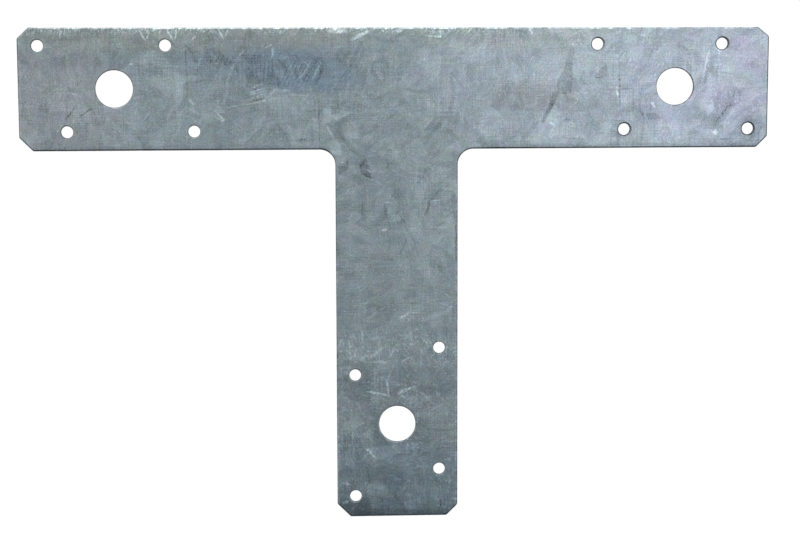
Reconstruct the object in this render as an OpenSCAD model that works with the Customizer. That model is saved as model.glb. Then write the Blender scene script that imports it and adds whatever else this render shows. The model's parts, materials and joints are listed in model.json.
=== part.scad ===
// T plate: a flat steel tie that laps a post to a beam, blanked in one piece from galvanised sheet.
// The plate lies on its back face. X runs along the cross bar, Y up the leg towards the bar,
// and Z out of the front face. The origin is on the back face, where the centre lines of the
// bar and the leg cross.

/* [Sheet] */
// Thickness of the galvanised sheet, 14 gauge
sheet_t = 1.9; // [1.2:0.05:4]
// Radius that the punch rolls onto every front edge
roll_r = 0.6; // [0.1:0.05:1]

/* [Straps] */
// Length of the cross bar, end to end
bar_l = 304.8; // [240:0.1:420]
// Width of the cross bar
bar_w = 50; // [40:0.1:80]
// Width of the leg
leg_w = 50; // [40:0.1:80]
// Height of the plate, from the bar's upper edge to the foot of the leg
plate_h = 203.2; // [160:0.1:320]
// How much further the leg's holes lie from its foot than an arm's holes from its end
foot_extra = 0.7; // [0:0.1:10]

/* [Corners] */
// Radius of the two inside corners, between the bar and the leg
inside_r = 6.35; // [2:0.05:20]
// Clip of the outer corners
clip = 4.6; // [1:0.1:9]
// Clip of the two lower left corners, which the die took deeper
clip_deep = 5.5; // [1:0.1:9]

/* [Bolt holes] */
// Diameter of a bolt hole, for a half-inch bolt
bolt_d = 15; // [8:0.1:20]
// Distance from an arm's end to its bolt hole
bolt_end = 38.5; // [28:0.1:50]

/* [Nail holes] */
// Diameter of a nail hole
nail_d = 4.76; // [3:0.01:7]
// Distance from a strap's side edge to its row of nails
nail_edge = 7.65; // [6:0.01:10]
// Distance from an arm's end to its first nail
nail_end = 8.1; // [6:0.1:14]
// Number of nails in a row
nails_per_row = 2; // [1:1:2]
// Distance between the nails of a row
nail_pitch = 51.1; // [40:0.1:60]
// Distance by which the second row of nails is set back from the first
nail_stagger = 11.2; // [0:0.1:16]

/* [Hidden] */
$fn = 96;

// How far a cutter stands past the faces that it cuts
cut_over = 1;
// How far a straight edge's cutter runs past an outer corner, so that two cutters mitre there
mitre_run = 2 * roll_r;

// Edges of the blank
end_x = bar_l / 2;
top_y = bar_w / 2;
under_y = -bar_w / 2;
side_x = leg_w / 2;
foot_y = top_y - plate_h;

// Each strap's hole pattern: where it is measured from, the way it runs, and the strap's width
STRAPS = [
    [[-end_x, 0], 0, bar_w],
    [[end_x, 0], 180, bar_w],
    [[0, foot_y + foot_extra], 90, leg_w],
];

// Corners of the blank, counter-clockwise from the left of the foot
OUTLINE = [
    [clip_deep - side_x, foot_y], [side_x - clip, foot_y],
    [side_x, foot_y + clip], [side_x, under_y],
    [end_x - clip, under_y], [end_x, under_y + clip],
    [end_x, top_y - clip], [end_x - clip, top_y],
    [clip - end_x, top_y], [-end_x, top_y - clip],
    [-end_x, under_y + clip_deep], [clip_deep - end_x, under_y],
    [-side_x, under_y], [-side_x, foot_y + clip_deep],
];

// The two inside corners: their index in OUTLINE, and their side of the leg (1 right, -1 left)
INSIDE_CORNERS = [[3, 1], [12, -1]];

function is_inside(i) = len([for (c = INSIDE_CORNERS) if (c[0] == i) i]) > 0;

// How far an edge's cutter runs past the corner i: short of an inside corner, to leave its round
function run_past(i) = is_inside(i) ? -inside_r : mitre_run;

// Flat blank, with a round of metal in each inside corner
module blank() {
    linear_extrude(sheet_t) {
        polygon(OUTLINE);
        for (c = INSIDE_CORNERS)
            translate(OUTLINE[c[0]])
                inside_round(c[1]);
    }
}

// Metal between an inside corner at the origin and its round, which lies to the given side of
// the leg (1 is right, -1 is left) and under the bar
module inside_round(side) {
    difference() {
        translate([min(side, 0) * inside_r, -inside_r])
            square(inside_r);
        translate([side, -1] * inside_r)
            circle(inside_r);
    }
}

// Section of what the roll takes off a front edge that stands at X = 0, with the metal at +X
module roll_section() {
    difference() {
        translate([-cut_over, sheet_t - roll_r])
            square([cut_over + roll_r, roll_r + cut_over]);
        translate([roll_r, sheet_t - roll_r])
            circle(roll_r);
    }
}

// Roll along the straight edge from the corner i of the outline to the next
module straight_roll(i) {
    next = (i + 1) % len(OUTLINE);
    edge = OUTLINE[next] - OUTLINE[i];
    translate(OUTLINE[i])
        rotate([0, 0, atan2(edge.y, edge.x)])
            translate([-run_past(i), 0, 0])
                rotate([90, 0, 90])
                    linear_extrude(norm(edge) + run_past(i) + run_past(next))
                        roll_section();
}

// Roll round an inside corner's quarter circle
module inside_roll(corner, side) {
    translate(corner + [side, -1] * inside_r)
        rotate([0, 0, side > 0 ? 90 : 0])
            rotate_extrude(angle = 90)
                translate([inside_r, 0])
                    roll_section();
}

// What the punch takes out for a round hole of diameter d, with its rolled mouth
module punched_hole(d) {
    rotate_extrude() {
        translate([0, -cut_over])
            square([d / 2, sheet_t + 2 * cut_over]);
        translate([d / 2, 0])
            roll_section();
    }
}

// Holes of a strap that starts at the origin and runs along +X: a bolt hole on the centre line
// and a row of nail holes down each side
module strap_holes(width) {
    row_y = width / 2 - nail_edge;
    translate([bolt_end, 0])
        punched_hole(bolt_d);
    for (k = [0 : nails_per_row - 1]) {
        translate([nail_end + k * nail_pitch, row_y])
            punched_hole(nail_d);
        translate([nail_end + nail_stagger + k * nail_pitch, -row_y])
            punched_hole(nail_d);
    }
}

module t_plate() {
    color("#8f9a9f")
        difference() {
            blank();
            for (i = [0 : len(OUTLINE) - 1])
                straight_roll(i);
            for (c = INSIDE_CORNERS)
                inside_roll(OUTLINE[c[0]], c[1]);
            for (s = STRAPS)
                translate(s[0])
                    rotate([0, 0, s[1]])
                        strap_holes(s[2]);
        }
}

t_plate();
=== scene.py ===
"""A galvanised T plate on a pale studio floor.

The plate is one blank of zinc-coated sheet, cut and pierced by punches. Its mesh is worked out here from the
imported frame: the faces with their slight waves, and the punched rims with their rolled, burnished and torn
bands. The zinc on it, the floor, the light and the camera follow."""

import json
import math

import bpy
import numpy as np
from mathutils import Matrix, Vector
from mathutils.geometry import delaunay_2d_cdt


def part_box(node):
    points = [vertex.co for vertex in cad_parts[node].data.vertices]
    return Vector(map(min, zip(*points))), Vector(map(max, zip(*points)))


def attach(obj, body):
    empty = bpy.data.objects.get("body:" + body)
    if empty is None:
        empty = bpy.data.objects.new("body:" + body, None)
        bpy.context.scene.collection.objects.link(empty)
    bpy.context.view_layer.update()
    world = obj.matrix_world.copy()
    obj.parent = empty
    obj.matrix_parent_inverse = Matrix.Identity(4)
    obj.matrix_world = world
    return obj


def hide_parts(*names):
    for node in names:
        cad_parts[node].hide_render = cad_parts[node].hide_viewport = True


bl_info = {
    "name": "Galvanised T Plate",
    "version": (1, 0, 0),
    "blender": (4, 5, 0),
    "location": "3D Viewport > Sidebar > T Plate",
    "description": "Builds a punched, galvanised T plate on its packed frame, and a studio stage for it",
    "category": "Object",
}

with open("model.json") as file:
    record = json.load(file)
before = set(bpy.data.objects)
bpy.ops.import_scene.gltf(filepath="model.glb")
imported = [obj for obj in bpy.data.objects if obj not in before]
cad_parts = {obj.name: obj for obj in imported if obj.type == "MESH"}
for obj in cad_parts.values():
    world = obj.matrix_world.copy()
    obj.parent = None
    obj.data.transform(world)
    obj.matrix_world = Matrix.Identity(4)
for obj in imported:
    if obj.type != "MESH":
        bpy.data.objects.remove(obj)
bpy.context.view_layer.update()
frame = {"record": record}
PLATE_LOW, PLATE_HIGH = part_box("t_plate")

MM = 0.001

# A hole with a smaller radius is a nail hole, and one further to the right is in the right arm
NAIL_LIMIT = 4 * MM
RIGHT_ARM = 80 * MM

# How rough a torn band is, how deep the nicks in a rim are, and how near to its rim a roll is bare steel
TEAR_GRAIN = 0.015 * MM
NICK_DEPTH = 0.04 * MM
BARE_ROLL = 0.02 * MM


def linear(code):
    """Linear red, green and blue of an sRGB hex colour."""
    srgb = np.array([int(code[k:k + 2], 16) for k in (1, 3, 5)]) / 255.0
    bright = ((srgb + 0.055) / 1.055) ** 2.4
    return tuple(np.where(srgb <= 0.04045, srgb / 12.92, bright).tolist())


def length_setting(name, description, millimetres):
    """A length that a user can change, given in millimetres."""
    return bpy.props.FloatProperty(
        name=name, description=description, default=millimetres * MM, unit="LENGTH")


def level_setting(name, description, level):
    """A level or a share that a user can change."""
    return bpy.props.FloatProperty(name=name, description=description, default=level)


def colour_setting(name, description, code):
    """A colour that a user can change, given as an sRGB hex value."""
    return bpy.props.FloatVectorProperty(
        name=name, description=description, default=linear(code), size=3, subtype="COLOR")


class TPlateSizes(bpy.types.PropertyGroup):
    """Sizes of the blank and of its punched rims"""

    strap_width: length_setting("Strap Width", "Width of the cross bar and of the leg", 50)
    inside_radius: length_setting("Inside Radius", "Radius of the corners between the bar and the leg", 6.35)
    clip: length_setting("Clip", "Clip of the outer corners", 4.6)
    deep_clip: length_setting("Deep Clip", "Clip of the two lower left corners", 5.5)
    corner_round: length_setting("Corner Round", "Small round where two cuts of the outline meet", 1.2)
    roll_width: length_setting("Roll Width", "How far in from a rim its front edge is rolled down", 0.7)
    roll_depth: length_setting("Roll Depth", "How far a rim's front edge is rolled down", 0.6)
    hole_roll: length_setting("Hole Roll", "How far in from a hole's rim its front edge is rolled down", 0.4)
    flat_margin: length_setting(
        "Flat Margin", "Width of the flat margin that keeps a rim's shading off the faces", 0.2)
    upper_wear: length_setting("Upper Wear", "Wear of the scuffed upper edge, at its middle", 0.6)
    tear_height: length_setting("Tear Height", "Height of the torn band of a rim, from the back face", 0.95)
    tear_lean: length_setting("Tear Lean", "How far in the torn band leans at the back face", 0.24)
    blunt_lean: length_setting(
        "Blunt Lean", "The same, in the right arm's nail holes, which a blunter punch made", 0.04)
    # Strength of the painted shade at the end of a roll, which darkens the zinc there
    rim_shade: level_setting("Rim Shade", "How much darker the zinc is at the end of a roll", 0.8)
    wave_height: length_setting("Wave Height", "Height of the slight waves in the rolled sheet", 0.03)
    droop: length_setting("Foot Droop", "How far the shear pulled the foot's front face down", 0.18)
    droop_length: length_setting("Droop Length", "Length of the foot that the shear pulled down", 7)
    grid_step: length_setting("Grid Step", "Spacing of the points inside the two faces", 2)
    rim_step: length_setting("Rim Step", "Spacing of the points along the outline", 0.7)
    bolt_step: length_setting("Bolt Step", "Spacing of the points round a bolt hole", 0.4)
    nail_step: length_setting("Nail Step", "Spacing of the points round a nail hole", 0.25)


class TPlateFinish(bpy.types.PropertyGroup):
    """Colours of the zinc and of the cut edges"""

    zinc: colour_setting("Zinc", "Middle tone of the zinc", "#8b989e")
    edge: colour_setting("Cut Edge", "Steel of the punched edges", "#85888a")
    crystal_size: length_setting("Crystal Size", "Width of a zinc crystal", 13)
    # Painted shade in the holes: how bright a hole's wall is left against the outer edges' steel
    painted_hole_wall_shade: level_setting("Hole Wall", "Brightness of a hole's wall against the outer edges' steel", 0.3)


class TPlateStage(bpy.types.PropertyGroup):
    """Floor, light and camera"""

    floor: colour_setting("Floor", "Colour of the floor", "#f6f6f6")
    floor_radius: length_setting("Floor Radius", "Radius of the floor", 4000)
    white_share: level_setting("White Share", "Share of plain white in what the camera sees of it", 0.93)
    white_level: level_setting("White Level", "Brightness of that plain white, where 1 is white", 1.04)
    key_level: level_setting("Key Level", "Brightness of the softbox on the right, where 1 is white", 1.6)
    back_level: level_setting("Back Level", "Brightness of the low softbox behind, where 1 is white", 1.5)
    lens: bpy.props.FloatProperty(
        name="Lens", description="Focal length of the camera", default=90.0, unit="CAMERA")
    camera_place: bpy.props.FloatVectorProperty(
        name="Camera Place", description="Where the camera stands", subtype="TRANSLATION", unit="LENGTH",
        size=3, default=(-40.16 * MM, 34.64 * MM, 814.69 * MM))
    camera_turn: bpy.props.FloatVectorProperty(
        name="Camera Turn", description="How the camera is turned from looking straight down",
        subtype="EULER", unit="ROTATION", size=3,
        default=tuple(math.radians(a) for a in (-7.5946, -2.9342, -0.1382)))


def plate_corners(sizes):
    """Corners of the outline, counter-clockwise from the left of the foot, and the round at each. The wear
    of the upper edge grows evenly from its left end to its right end."""
    end = PLATE_HIGH.x
    top = PLATE_HIGH.y
    foot = PLATE_LOW.y
    side = sizes.strap_width / 2
    under = top - sizes.strap_width
    clip = sizes.clip
    deep = sizes.deep_clip
    left_wear = 0.5 * sizes.upper_wear
    right_wear = 1.5 * sizes.upper_wear
    corners = np.array([
        (deep - side, foot), (side - clip, foot),
        (side, foot + clip), (side, under),
        (end - clip, under), (end, under + clip),
        (end, top - clip), (end - clip, top - right_wear),
        (clip - end, top - left_wear), (-end, top - clip),
        (-end, under + deep), (deep - end, under),
        (-side, under), (-side, foot + deep)])
    inside = (np.abs(corners[:, 0]) == side) & (corners[:, 1] == under)
    rounds = np.where(inside, sizes.inside_radius, sizes.corner_round)
    return corners, rounds


def rounded_path(corners, rounds, step):
    """Points, about a step apart, and outward normals of a closed outline with a round at each corner.

    The heading is constant along a straight and grows evenly along a round, so a point is the start of its
    stretch plus the integral of (cos heading, sin heading) over the distance walked since that start."""
    ahead = np.roll(corners, -1, axis=0) - corners
    length = np.linalg.norm(ahead, axis=1)
    heading = np.arctan2(ahead[:, 1], ahead[:, 0])
    turn = (heading - np.roll(heading, 1) + np.pi) % (2 * np.pi) - np.pi
    trim = rounds * np.tan(np.abs(turn) / 2)
    straight = length - trim - np.roll(trim, -1)
    next_turn = np.roll(turn, -1)
    arc = np.roll(rounds, -1) * np.abs(next_turn)
    begin = corners + ahead * (trim / length)[:, None]
    finish = begin + ahead * (straight / length)[:, None]

    stretch = np.stack([straight, arc], axis=1).ravel()
    bend = np.stack([np.zeros_like(arc), next_turn / arc], axis=1).ravel()
    start = np.stack([begin, finish], axis=1).reshape(-1, 2)
    count = np.maximum(np.ceil(stretch / step).astype(int), 4)
    which = np.repeat(np.arange(len(stretch)), count)
    place = np.arange(len(which)) - np.repeat(np.cumsum(count) - count, count)
    walked = place / count[which] * stretch[which]
    first = np.repeat(heading, 2)[which]
    angle = first + bend[which] * walked
    curved = bend[which] != 0
    safe_bend = np.where(curved, bend[which], 1.0)
    along = np.where(curved, (np.sin(angle) - np.sin(first)) / safe_bend, walked * np.cos(first))
    across = np.where(curved, (np.cos(first) - np.cos(angle)) / safe_bend, walked * np.sin(first))
    points = start[which] + np.stack([along, across], axis=1)
    normals = np.stack([np.sin(angle), -np.cos(angle)], axis=1)
    return points, normals


def hole_places():
    """Centre and radius of every hole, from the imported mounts: a bore is one hole, and a row of nails is two
    holes, half its spacing to either side of its middle."""
    holes = []
    for mount in frame["record"]["mounts"]:
        dims = mount["dims"]
        x, y, _ = mount["pos_m"]
        if mount["kind"] == "bore":
            holes.append((x, y, dims["r_mm"] * MM))
        if mount["kind"] == "bolt_pattern":
            half_x = dims.get("spacing_x_mm", 0) * MM / 2
            half_y = dims.get("spacing_y_mm", 0) * MM / 2
            holes.append((x - half_x, y - half_y, dims["hole_r_mm"] * MM))
            holes.append((x + half_x, y + half_y, dims["hole_r_mm"] * MM))
    return np.array(holes)


def hole_path(x, y, radius, step):
    """Points and normals of a hole's rim, walked clockwise so that the metal lies to the left, as it does on
    the outline: a circle, with normals that point to its centre."""
    count = 8 * math.ceil(2 * math.pi * radius / step / 8)
    angle = -2 * np.pi * np.arange(count) / count
    spoke = np.stack([np.cos(angle), np.sin(angle)], axis=1)
    return np.array([x, y]) + radius * spoke, -spoke


def rim_section(sizes, roll_width, lean, thickness):
    """Section of a punched rim, from the front face to the back one: how far in and how high each point is.

    A quarter ellipse rolls the front edge down, a straight burnished band follows, and the torn band leans
    into the metal in proportion to its depth, with a small round at the back. A narrow margin of each face
    comes along. Then come how far each point is down the roll, from 0 to 1, and whether the rim is torn
    there, as 0 or 1."""
    quarter = np.linspace(0, np.pi / 2, 8)
    flat_in = roll_width + sizes.flat_margin
    roll_in = np.append(flat_in, roll_width * (1 - np.sin(quarter)))
    roll_high = np.append(thickness, thickness - sizes.roll_depth * (1 - np.cos(quarter)))
    burnish_high = np.linspace(roll_high[-1], sizes.tear_height, 4)[1:]
    back_round = 0.05 * MM
    tear_high = np.linspace(sizes.tear_height, back_round, 6)[1:]
    tear_in = lean * (1 - tear_high / sizes.tear_height)
    back_in = np.append(tear_in[-1] + back_round * np.array([0.3, 1.0]), flat_in)
    back_high = back_round * np.array([0.3, 0.0, 0.0])
    burnish_in = np.zeros_like(burnish_high)
    inset = np.concatenate([roll_in, burnish_in, tear_in, back_in])
    height = np.concatenate([roll_high, burnish_high, tear_high, back_high])
    wall = np.ones(len(burnish_in) + len(tear_in))
    rolled = np.concatenate([[0], np.sin(quarter), wall, np.zeros_like(back_in)])
    torn = np.zeros_like(inset)
    torn[len(roll_in) + len(burnish_in):-len(back_in)] = 1
    return inset, height, rolled, torn


def soft_noise(random, count, width):
    """Smooth random values along a closed rim: white noise averaged over a window of the given width."""
    window = np.hanning(width + 2)[1:-1]
    white = random.standard_normal(count)
    wrapped = np.concatenate([white, white[:width]])
    smooth = np.convolve(wrapped, window / np.sqrt(np.sum(window ** 2)), mode="same")
    return smooth[width // 2:width // 2 + count]


def sheet_wave(x, y, sizes):
    """Height of the front face over a flat sheet: two long crossed waves, with their lengths in metres, and
    a droop over the foot that grows with the square of the way towards its end."""
    long_wave = np.sin(2 * np.pi * (x / 0.118 + y / 0.31) + 0.7)
    cross_wave = np.sin(2 * np.pi * (x / 0.26 - y / 0.083) + 2.1)
    droop = np.clip((PLATE_LOW.y + sizes.droop_length - y) / sizes.droop_length, 0, 1) ** 2
    return sizes.wave_height * (0.6 * long_wave + 0.4 * cross_wave) - sizes.droop * droop


def metal_depth(x, y, sizes, holes):
    """How far inside the metal a point lies: its depth in the bar's box or the leg's, less the clipped
    corners, whichever is more, but no more than its distance from a hole's rim."""
    top = PLATE_HIGH.y
    under = top - sizes.strap_width
    side = sizes.strap_width / 2
    bar = np.minimum(PLATE_HIGH.x - np.abs(x), np.minimum(top - y, y - under))
    leg = np.minimum(side - np.abs(x), np.minimum(top - y, y - PLATE_LOW.y))
    bar_clip = (PLATE_HIGH.x - np.abs(x) + side - np.abs(y) - sizes.deep_clip) / math.sqrt(2)
    leg_clip = (side - np.abs(x) + y - PLATE_LOW.y - sizes.deep_clip) / math.sqrt(2)
    depth = np.maximum(np.minimum(bar, bar_clip), np.minimum(leg, leg_clip))
    reach = np.hypot(x[:, None] - holes[:, 0], y[:, None] - holes[:, 1]) - holes[:, 2]
    return np.minimum(depth, reach.min(axis=1))


def face_points(sizes, holes):
    """Points inside the faces: a grid of equal triangles, kept where it is clear of every rim."""
    step = sizes.grid_step
    row_step = step * math.sqrt(3) / 2
    xs = np.arange(PLATE_LOW.x, PLATE_HIGH.x, step)
    ys = np.arange(PLATE_LOW.y, PLATE_HIGH.y, row_step)
    column, row = np.meshgrid(np.arange(len(xs)), np.arange(len(ys)))
    x = (xs[column] + (row % 2) * step / 2).ravel()
    y = ys[row].ravel()
    clear = sizes.roll_width + sizes.flat_margin + 0.6 * step
    keep = metal_depth(x, y, sizes, holes) > clear
    return np.stack([x[keep], y[keep]], axis=1)


def rim_surface(sizes, points, normals, in_hole, blunt, random):
    """Points of one punched rim and their painted light, in rows down its section, and which strips between
    two rows are bare steel.

    The section is carried along the path, with a little noise where it is torn or nicked. Along the scuffed
    upper edge the roll is narrower and ragged. The painted light is painted shade that grows with the way down
    the roll, less so where the rim faces the back of the studio, and a painted highlight that rises in a
    ragged way along the scuffed upper edge, where the roll catches the back softbox."""
    roll_width = sizes.hole_roll if in_hole and not blunt else sizes.roll_width
    lean = sizes.blunt_lean if blunt else sizes.tear_lean
    inset, height, rolled, torn = rim_section(sizes, roll_width, lean, PLATE_HIGH.z - PLATE_LOW.z)
    count, rows = len(points), len(inset)
    rough = random.standard_normal((count, rows)) * torn * TEAR_GRAIN
    nicks = np.abs(NICK_DEPTH * soft_noise(random, count, 3))
    # This is 1 along the upper edge, and falls to 0 over the last 2 mm before its ends
    from_corner = PLATE_HIGH.x - sizes.clip - sizes.corner_round - np.abs(points[:, 0])
    top_edge = np.clip(from_corner / (2 * MM), 0, 1) * (points[:, 1] > PLATE_HIGH.y - MM)
    ragged = np.clip(soft_noise(random, count, 3), -1, 2) * top_edge
    worn_in = nicks * (3 * top_edge + 0.3)
    inward = inset * (1 - 0.35 * top_edge + 0.2 * ragged)[:, None] + rough + worn_in[:, None]
    flat = points[:, None, :] - normals[:, None, :] * inward[:, :, None]
    surface = np.dstack([flat, np.broadcast_to(height, (count, rows))])
    # Painted shade down each roll, weaker where the rim faces the back softbox and nearly full in the holes,
    # and a painted highlight along the upper edge's roll
    lit = np.clip(normals[:, 1], 0, 1) * (0.15 if in_hole else 1.0)
    shade = -sizes.rim_shade * (1 - lit) * (1 - top_edge) + (1.2 + 0.4 * ragged) * top_edge
    steel = (inset[:-1] < BARE_ROLL) | (torn[:-1] > 0) | (torn[1:] > 0)
    return surface, shade[:, None] * rolled, steel


def face_triangles(rims, inner):
    """Triangles of a face over its rims' points and then the points inside: a Delaunay triangulation that
    keeps the rims' edges, less the triangles across a hole, whose corners all lie on that hole's rim."""
    planar = np.concatenate([*rims, inner])
    counts = [len(rim) for rim in rims]
    starts = np.cumsum([0] + counts[:-1])
    edges = np.concatenate([
        np.stack([start + np.arange(n), start + (np.arange(n) + 1) % n], axis=1)
        for start, n in zip(starts, counts)])
    inside_edges = 1
    found = delaunay_2d_cdt(planar.tolist(), edges.tolist(), [], inside_edges, 1e-9)
    if len(found[0]) != len(planar):
        raise RuntimeError("the front face's rims cross or repeat a point")
    triangles = np.array(found[2])
    rim_of = np.concatenate([np.repeat(np.arange(len(rims)), counts), np.zeros(len(inner), int)])
    across_hole = (np.ptp(rim_of[triangles], axis=1) == 0) & (rim_of[triangles[:, 0]] > 0)
    return triangles[~across_hole]


def plate_mesh(sizes):
    """Points, their rims' painted shade and highlight and their hole flag, and faces with their steel flag, of
    the whole plate.

    Every rim is its section carried along its path, and the right arm's nail holes have the rims of a
    blunter punch. The front face joins the rims' front edges, and the back face repeats its triangles,
    turned over, between the rims' back edges. A point rises with the sheet's waves in proportion to its
    height."""
    thickness = PLATE_HIGH.z - PLATE_LOW.z
    random = np.random.default_rng(11)
    holes = hole_places()
    outline = rounded_path(*plate_corners(sizes), sizes.rim_step)
    rims = [rim_surface(sizes, *outline, False, False, random)]
    for x, y, radius in holes:
        nail = radius < NAIL_LIMIT
        path = hole_path(x, y, radius, sizes.nail_step if nail else sizes.bolt_step)
        rims.append(rim_surface(sizes, *path, True, nail and x > RIGHT_ARM, random))
    surfaces, tones, steel_strips = zip(*rims)

    first = np.cumsum([0] + [tone.size for tone in tones])
    indices = [start + np.arange(tone.size).reshape(tone.shape) for start, tone in zip(first, tones)]
    strips = []
    for index in indices:
        after = np.roll(index, -1, axis=0)
        strips.append(np.stack([index[:, :-1], index[:, 1:], after[:, 1:], after[:, :-1]], axis=2))
    quads = np.concatenate([strip.reshape(-1, 4) for strip in strips])

    inner = face_points(sizes, holes)
    triangles = face_triangles([surface[:, 0, :2] for surface in surfaces], inner)
    inner_front = first[-1] + np.arange(len(inner))
    inner_back = inner_front + len(inner)
    to_front = np.concatenate([*(index[:, 0] for index in indices), inner_front])
    to_back = np.concatenate([*(index[:, -1] for index in indices), inner_back])

    points = np.concatenate([
        *(surface.reshape(-1, 3) for surface in surfaces),
        np.column_stack([inner, np.full(len(inner), thickness)]),
        np.column_stack([inner, np.zeros(len(inner))])])
    points[:, 2] *= 1 + sheet_wave(points[:, 0], points[:, 1], sizes) / thickness
    points[:, 2] += PLATE_LOW.z
    number = np.arange(len(points))
    in_hole = (number >= first[1]) & (number < first[-1])
    rim_painted_lights = np.concatenate([*(tone.ravel() for tone in tones), np.zeros(2 * len(inner))])
    steel = np.concatenate([
        *(np.tile(strip, len(tone)) for strip, tone in zip(steel_strips, tones)),
        np.zeros(2 * len(triangles), bool)])
    faces = quads.tolist() + to_front[triangles].tolist() + to_back[triangles[:, ::-1]].tolist()
    return points, rim_painted_lights, in_hole, faces, steel


def add(tree, kind, sockets, **settings):
    """Adds a node, sets its properties, and sets or links its inputs by name or number. A node given as an
    input stands for its first output."""
    node = tree.nodes.new(kind)
    for name, value in settings.items():
        setattr(node, name, value)
    for key, value in sockets.items():
        if isinstance(value, bpy.types.Node):
            value = value.outputs[0]
        if isinstance(value, bpy.types.NodeSocket):
            tree.links.new(value, node.inputs[key])
        else:
            node.inputs[key].default_value = value
    return node


def new_material(name):
    """An empty node material, and its tree."""
    material = bpy.data.materials.new(name)
    material.use_nodes = True
    material.node_tree.nodes.clear()
    return material, material.node_tree


def metal_place(tree):
    """The place on the piece, in millimetres."""
    coords = add(tree, "ShaderNodeTexCoord", {})
    return add(tree, "ShaderNodeMapping", {"Vector": coords.outputs["Object"], "Scale": (1 / MM,) * 3})


def metal_surface(tree, colour, roughness, relief):
    """Ends a metal's tree in its surface."""
    shader = add(tree, "ShaderNodeBsdfPrincipled", {"Base Color": colour, "Metallic": 1.0,
                                                    "Roughness": roughness, "Normal": relief})
    add(tree, "ShaderNodeOutputMaterial", {"Surface": shader})


# Straight-sided patches of zinc on the front face that froze lighter or darker than the rest: the corners of
# each in millimetres, in order round it, and how much lighter or darker it looks.
PATCHES = (
    # Left arm
    (((-79.5, 9.5), (-70.5, 8.5), (-69, -2.5), (-74, -6.5)), 0.03),
    (((-89, 3), (-86, 3), (-86.5, -5.5), (-89, -5.5)), 0.08),
    (((-85, 17.5), (-83, 16), (-79.5, 10), (-81.5, 10)), -0.06),
    (((-78.5, 17), (-76.5, 17), (-74, 10.5), (-76.5, 10.5)), -0.09),
    (((-76, 16), (-72.5, 16.5), (-66, 10), (-69, 9)), -0.10),
    (((-63, 13.5), (-55, 14), (-50, 10.5), (-59, 9.5)), -0.08),
    (((-48.5, 12), (-44, 12), (-43, 6.5), (-45, 6.5)), -0.09),
    (((-44, 14), (-30, 12), (-25, 4), (-40, 2)), -0.06),
    (((-62, 8), (-50, 9), (-47, 1), (-60, 2)), -0.06),
    (((-53.5, -4.8), (-49, -0.5), (-37, -3), (-36, -12)), 0.05),
    (((-60, -6.5), (-53.5, -4.8), (-36, -12), (-58, -16)), 0.03),
    (((-30, -8.5), (-26.5, -8), (-27, -14), (-29.5, -14)), 0.12),
    (((-26.5, -11), (-21.5, -9.5), (-24.5, -13)), 0.12),
    (((-30, -8), (-18.5, -9.5), (-25, -14)), 0.07),
    (((-28, -21.5), (-24.5, -20.5), (-22, -27), (-26.5, -27)), 0.08),
    (((-25.5, -14), (-21, -12.5), (-21, -20.5), (-24.5, -18)), -0.04),
    # Middle
    (((-13, 15), (-6.5, 14), (-7.5, 11), (-12.5, 11)), 0.06),
    (((-20.5, -14), (-16.5, -13.5), (-15, -20.5), (-19, -20.5)), 0.06),
    (((11, -17), (14.5, -12.5), (25, -10.5), (24, -19.5)), -0.05),
    # Right arm
    (((65, -3), (66, 3), (72, 3), (71.3, -2.8)), -0.14),
    (((66, 3), (69, 9.5), (71.7, 10), (72, 3)), -0.13),
    (((69, 9.5), (71, 16), (73, 16), (71.7, 10)), -0.07),
    (((64, -2.2), (66.2, -3.6), (60.4, -14.5), (59, -14.2)), -0.17),
    (((64.5, -7), (67, -10), (66, -19.5), (60, -14.5)), 0.09),
    (((60, -14.5), (66, -19.5), (58.5, -23), (53.5, -23.5)), 0.07),
    (((80.4, 4.5), (85.6, 9.5), (86.5, 5), (82.9, 3)), -0.10),
    (((78.5, -5), (82.5, -6.5), (81.5, -9.5), (78, -9)), -0.06),
    (((83, -14), (88, -15), (87.5, -19.5), (83.5, -18)), 0.07),
    # Right end
    (((128.5, 14), (131.5, 13.5), (130, 8), (125.5, 0)), -0.07),
    (((141, 6), (140.5, 1.5), (137.5, -7), (135.5, -7)), -0.05),
    (((139, -7.5), (149, -3.5), (134.5, -16.5), (132.5, -15.5)), 0.05),
    (((126.5, -8), (129.5, -7), (130.5, -9), (127.5, -12.5)), 0.12),
    (((129.5, -18.5), (131, -17.5), (132, -19), (130.5, -20)), 0.25),
    (((102, -11), (106, -10.5), (108.5, -13), (103, -13.5)), -0.11),
    (((94, -6), (99, -5), (104, -23.5), (87, -15)), -0.05),
    (((87, -15), (104, -23.5), (95, -24), (86, -24)), -0.05),
    (((142, -14), (149, -8.5), (151.5, -16), (145.5, -22)), -0.07),
    # Leg
    (((-24, -31.5), (-19.5, -29), (-19.5, -33), (-24, -35.5)), -0.11),
    (((-15.5, -30.5), (-12.5, -28.5), (-10.5, -33.5), (-14.5, -35)), -0.12),
    (((-14.5, -35), (-10.5, -33.5), (-10.5, -37)), -0.16),
    (((14, -46.5), (20, -45), (24, -57), (12, -57)), 0.04),
    (((-12.5, -149), (0, -147.5), (1, -151), (-10, -155)), 0.10),
    (((-14.5, -143), (-9.5, -139), (-10, -147)), 0.11),
    (((-23, -139), (-17, -135), (-13, -138), (-21, -143)), 0.07),
    (((10, -133), (20, -130), (22, -135), (13, -138)), 0.06),
    (((2, -172), (9.5, -170.5), (11, -176), (3.5, -175.5)), 0.09),
)

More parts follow.
